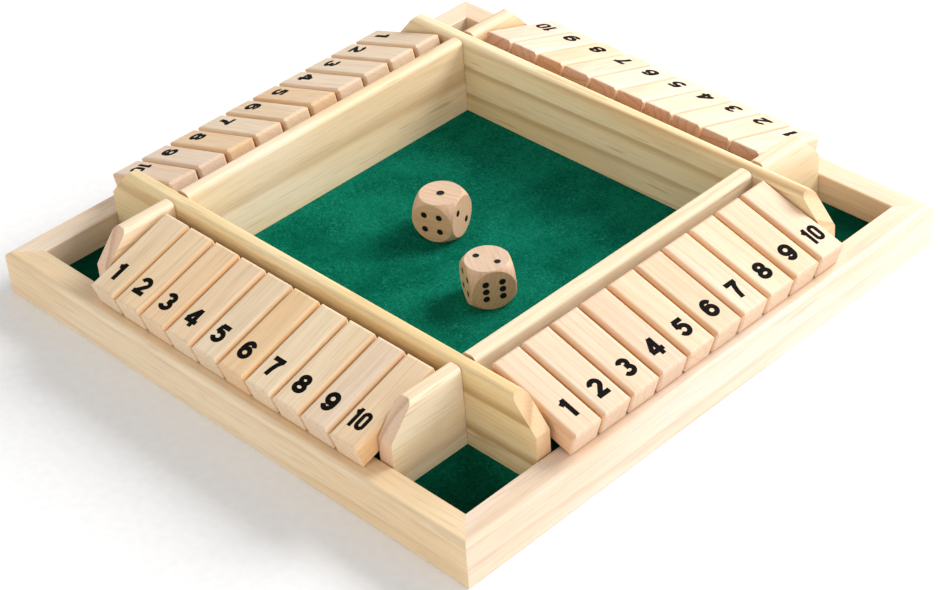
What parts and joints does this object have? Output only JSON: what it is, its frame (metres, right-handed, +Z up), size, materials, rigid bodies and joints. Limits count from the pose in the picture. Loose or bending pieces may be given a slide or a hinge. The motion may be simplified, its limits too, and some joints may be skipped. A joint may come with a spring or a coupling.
{
  "type": "shut the box game",
  "caption": "Square wooden shut the box game for one player at each side, with rows of numbered flip tiles on hidden rods round a felted dice tray, and wooden dice.",
  "frame": {"origin": "middle of the underside of the square frame, where it stands on the table", "axes": "+Z up, -Y towards the front player, +X towards the right player"},
  "size_m": [0.23, 0.23, 0.0373],
  "materials": {
    "pine_rail": "clear satin lacquer over planed pine",
    "pine_board": "clear satin lacquer over planed pine",
    "panel_board": "unfinished thin plywood",
    "green_felt": "matt green felt",
    "tile_wood": "satin lacquered pine",
    "rod_wood": "plain dowel",
    "dice_wood": "smooth bare hardwood",
    "black_ink": "flat black print and paint",
    "screw_steel": "plain zinc-plated steel"
  },
  "bodies": {
    "board": {"rail_front": "pine_rail", "rail_right": "pine_rail", "rail_back": "pine_rail", "rail_left": "pine_rail", "base_panel": "panel_board", "felt_floor": "green_felt", "board_front": "pine_board", "board_right": "pine_board", "board_back": "pine_board", "board_left": "pine_board", "rod_front": "rod_wood", "rod_right": "rod_wood", "rod_back": "rod_wood", "rod_left": "rod_wood", "lattice_screws": "screw_steel"},
    "tile_front_1": {"tile_front_1": "tile_wood"},
    "tile_front_2": {"tile_front_2": "tile_wood"},
    "tile_front_3": {"tile_front_3": "tile_wood"},
    "tile_front_4": {"tile_front_4": "tile_wood"},
    "tile_front_5": {"tile_front_5": "tile_wood"},
    "tile_front_6": {"tile_front_6": "tile_wood"},
    "tile_front_7": {"tile_front_7": "tile_wood"},
    "tile_front_8": {"tile_front_8": "tile_wood"},
    "tile_front_9": {"tile_front_9": "tile_wood"},
    "tile_front_10": {"tile_front_10": "tile_wood"},
    "tile_right_1": {"tile_right_1": "tile_wood"},
    "tile_right_2": {"tile_right_2": "tile_wood"},
    "tile_right_3": {"tile_right_3": "tile_wood"},
    "tile_right_4": {"tile_right_4": "tile_wood"},
    "tile_right_5": {"tile_right_5": "tile_wood"},
    "tile_right_6": {"tile_right_6": "tile_wood"},
    "tile_right_7": {"tile_right_7": "tile_wood"},
    "tile_right_8": {"tile_right_8": "tile_wood"},
    "tile_right_9": {"tile_right_9": "tile_wood"},
    "tile_right_10": {"tile_right_10": "tile_wood"},
    "tile_back_1": {"tile_back_1": "tile_wood"},
    "tile_back_2": {"tile_back_2": "tile_wood"},
    "tile_back_3": {"tile_back_3": "tile_wood"},
    "tile_back_4": {"tile_back_4": "tile_wood"},
    "tile_back_5": {"tile_back_5": "tile_wood"},
    "tile_back_6": {"tile_back_6": "tile_wood"},
    "tile_back_7": {"tile_back_7": "tile_wood"},
    "tile_back_8": {"tile_back_8": "tile_wood"},
    "tile_back_9": {"tile_back_9": "tile_wood"},
    "tile_back_10": {"tile_back_10": "tile_wood"},
    "tile_left_1": {"tile_left_1": "tile_wood"},
    "tile_left_2": {"tile_left_2": "tile_wood"},
    "tile_left_3": {"tile_left_3": "tile_wood"},
    "tile_left_4": {"tile_left_4": "tile_wood"},
    "tile_left_5": {"tile_left_5": "tile_wood"},
    "tile_left_6": {"tile_left_6": "tile_wood"},
    "tile_left_7": {"tile_left_7": "tile_wood"},
    "tile_left_8": {"tile_left_8": "tile_wood"},
    "tile_left_9": {"tile_left_9": "tile_wood"},
    "tile_left_10": {"tile_left_10": "tile_wood"},
    "die_a": {"die_a": "dice_wood"},
    "die_b": {"die_b": "dice_wood"}
  },
  "joints": [
    {"name": "flip_front_1", "type": "hinge", "parent": "board", "child": "tile_front_1", "pos_m": [0, -0.085, 0.03], "axis": [-1, 0, 0], "range_deg": [0, 148]},
    {"name": "flip_front_2", "type": "hinge", "parent": "board", "child": "tile_front_2", "pos_m": [0, -0.085, 0.03], "axis": [-1, 0, 0], "range_deg": [0, 148]},
    {"name": "flip_front_3", "type": "hinge", "parent": "board", "child": "tile_front_3", "pos_m": [0, -0.085, 0.03], "axis": [-1, 0, 0], "range_deg": [0, 148]},
    {"name": "flip_front_4", "type": "hinge", "parent": "board", "child": "tile_front_4", "pos_m": [0, -0.085, 0.03], "axis": [-1, 0, 0], "range_deg": [0, 148]},
    {"name": "flip_front_5", "type": "hinge", "parent": "board", "child": "tile_front_5", "pos_m": [0, -0.085, 0.03], "axis": [-1, 0, 0], "range_deg": [0, 148]},
    {"name": "flip_front_6", "type": "hinge", "parent": "board", "child": "tile_front_6", "pos_m": [0, -0.085, 0.03], "axis": [-1, 0, 0], "range_deg": [0, 148]},
    {"name": "flip_front_7", "type": "hinge", "parent": "board", "child": "tile_front_7", "pos_m": [0, -0.085, 0.03], "axis": [-1, 0, 0], "range_deg": [0, 148]},
    {"name": "flip_front_8", "type": "hinge", "parent": "board", "child": "tile_front_8", "pos_m": [0, -0.085, 0.03], "axis": [-1, 0, 0], "range_deg": [0, 148]},
    {"name": "flip_front_9", "type": "hinge", "parent": "board", "child": "tile_front_9", "pos_m": [0, -0.085, 0.03], "axis": [-1, 0, 0], "range_deg": [0, 148]},
    {"name": "flip_front_10", "type": "hinge", "parent": "board", "child": "tile_front_10", "pos_m": [0, -0.085, 0.03], "axis": [-1, 0, 0], "range_deg": [0, 138]},
    {"name": "flip_right_1", "type": "hinge", "parent": "board", "child": "tile_right_1", "pos_m": [0.085, 0, 0.03], "axis": [0, -1, 0], "range_deg": [0, 148]},
    {"name": "flip_right_2", "type": "hinge", "parent": "board", "child": "tile_right_2", "pos_m": [0.085, 0, 0.03], "axis": [0, -1, 0], "range_deg": [0, 148]},
    {"name": "flip_right_3", "type": "hinge", "parent": "board", "child": "tile_right_3", "pos_m": [0.085, 0, 0.03], "axis": [0, -1, 0], "range_deg": [0, 148]},
    {"name": "flip_right_4", "type": "hinge", "parent": "board", "child": "tile_right_4", "pos_m": [0.085, 0, 0.03], "axis": [0, -1, 0], "range_deg": [0, 148]},
    {"name": "flip_right_5", "type": "hinge", "parent": "board", "child": "tile_right_5", "pos_m": [0.085, 0, 0.03], "axis": [0, -1, 0], "range_deg": [0, 148]},
    {"name": "flip_right_6", "type": "hinge", "parent": "board", "child": "tile_right_6", "pos_m": [0.085, 0, 0.03], "axis": [0, -1, 0], "range_deg": [0, 148]},
    {"name": "flip_right_7", "type": "hinge", "parent": "board", "child": "tile_right_7", "pos_m": [0.085, 0, 0.03], "axis": [0, -1, 0], "range_deg": [0, 148]},
    {"name": "flip_right_8", "type": "hinge", "parent": "board", "child": "tile_right_8", "pos_m": [0.085, 0, 0.03], "axis": [0, -1, 0], "range_deg": [0, 148]},
    {"name": "flip_right_9", "type": "hinge", "parent": "board", "child": "tile_right_9", "pos_m": [0.085, 0, 0.03], "axis": [0, -1, 0], "range_deg": [0, 148]},
    {"name": "flip_right_10", "type": "hinge", "parent": "board", "child": "tile_right_10", "pos_m": [0.085, 0, 0.03], "axis": [0, -1, 0], "range_deg": [0, 138]},
    {"name": "flip_back_1", "type": "hinge", "parent": "board", "child": "tile_back_1", "pos_m": [0, 0.085, 0.03], "axis": [1, 0, 0], "range_deg": [0, 148]},
    {"name": "flip_back_2", "type": "hinge", "parent": "board", "child": "tile_back_2", "pos_m": [0, 0.085, 0.03], "axis": [1, 0, 0], "range_deg": [0, 148]},
    {"name": "flip_back_3", "type": "hinge", "parent": "board", "child": "tile_back_3", "pos_m": [0, 0.085, 0.03], "axis": [1, 0, 0], "range_deg": [0, 148]},
    {"name": "flip_back_4", "type": "hinge", "parent": "board", "child": "tile_back_4", "pos_m": [0, 0.085, 0.03], "axis": [1, 0, 0], "range_deg": [0, 148]},
    {"name": "flip_back_5", "type": "hinge", "parent": "board", "child": "tile_back_5", "pos_m": [0, 0.085, 0.03], "axis": [1, 0, 0], "range_deg": [0, 148]},
    {"name": "flip_back_6", "type": "hinge", "parent": "board", "child": "tile_back_6", "pos_m": [0, 0.085, 0.03], "axis": [1, 0, 0], "range_deg": [0, 148]},
    {"name": "flip_back_7", "type": "hinge", "parent": "board", "child": "tile_back_7", "pos_m": [0, 0.085, 0.03], "axis": [1, 0, 0], "range_deg": [0, 148]},
    {"name": "flip_back_8", "type": "hinge", "parent": "board", "child": "tile_back_8", "pos_m": [0, 0.085, 0.03], "axis": [1, 0, 0], "range_deg": [0, 148]},
    {"name": "flip_back_9", "type": "hinge", "parent": "board", "child": "tile_back_9", "pos_m": [0, 0.085, 0.03], "axis": [1, 0, 0], "range_deg": [0, 148]},
    {"name": "flip_back_10", "type": "hinge", "parent": "board", "child": "tile_back_10", "pos_m": [0, 0.085, 0.03], "axis": [1, 0, 0], "range_deg": [0, 138]},
    {"name": "flip_left_1", "type": "hinge", "parent": "board", "child": "tile_left_1", "pos_m": [-0.085, 0, 0.03], "axis": [0, 1, 0], "range_deg": [0, 148]},
    {"name": "flip_left_2", "type": "hinge", "parent": "board", "child": "tile_left_2", "pos_m": [-0.085, 0, 0.03], "axis": [0, 1, 0], "range_deg": [0, 148]},
    {"name": "flip_left_3", "type": "hinge", "parent": "board", "child": "tile_left_3", "pos_m": [-0.085, 0, 0.03], "axis": [0, 1, 0], "range_deg": [0, 148]},
    {"name": "flip_left_4", "type": "hinge", "parent": "board", "child": "tile_left_4", "pos_m": [-0.085, 0, 0.03], "axis": [0, 1, 0], "range_deg": [0, 148]},
    {"name": "flip_left_5", "type": "hinge", "parent": "board", "child": "tile_left_5", "pos_m": [-0.085, 0, 0.03], "axis": [0, 1, 0], "range_deg": [0, 148]},
    {"name": "flip_left_6", "type": "hinge", "parent": "board", "child": "tile_left_6", "pos_m": [-0.085, 0, 0.03], "axis": [0, 1, 0], "range_deg": [0, 148]},
    {"name": "flip_left_7", "type": "hinge", "parent": "board", "child": "tile_left_7", "pos_m": [-0.085, 0, 0.03], "axis": [0, 1, 0], "range_deg": [0, 148]},
    {"name": "flip_left_8", "type": "hinge", "parent": "board", "child": "tile_left_8", "pos_m": [-0.085, 0, 0.03], "axis": [0, 1, 0], "range_deg": [0, 148]},
    {"name": "flip_left_9", "type": "hinge", "parent": "board", "child": "tile_left_9", "pos_m": [-0.085, 0, 0.03], "axis": [0, 1, 0], "range_deg": [0, 148]},
    {"name": "flip_left_10", "type": "hinge", "parent": "board", "child": "tile_left_10", "pos_m": [-0.085, 0, 0.03], "axis": [0, 1, 0], "range_deg": [0, 138]},
    {"name": "lift_die_a", "type": "slide", "parent": "board", "child": "die_a", "axis": [0, 0, 1], "range_m": [0, 0.05]},
    {"name": "lift_die_b", "type": "slide", "parent": "board", "child": "die_b", "axis": [0, 0, 1], "range_m": [0, 0.05]}
  ]
}
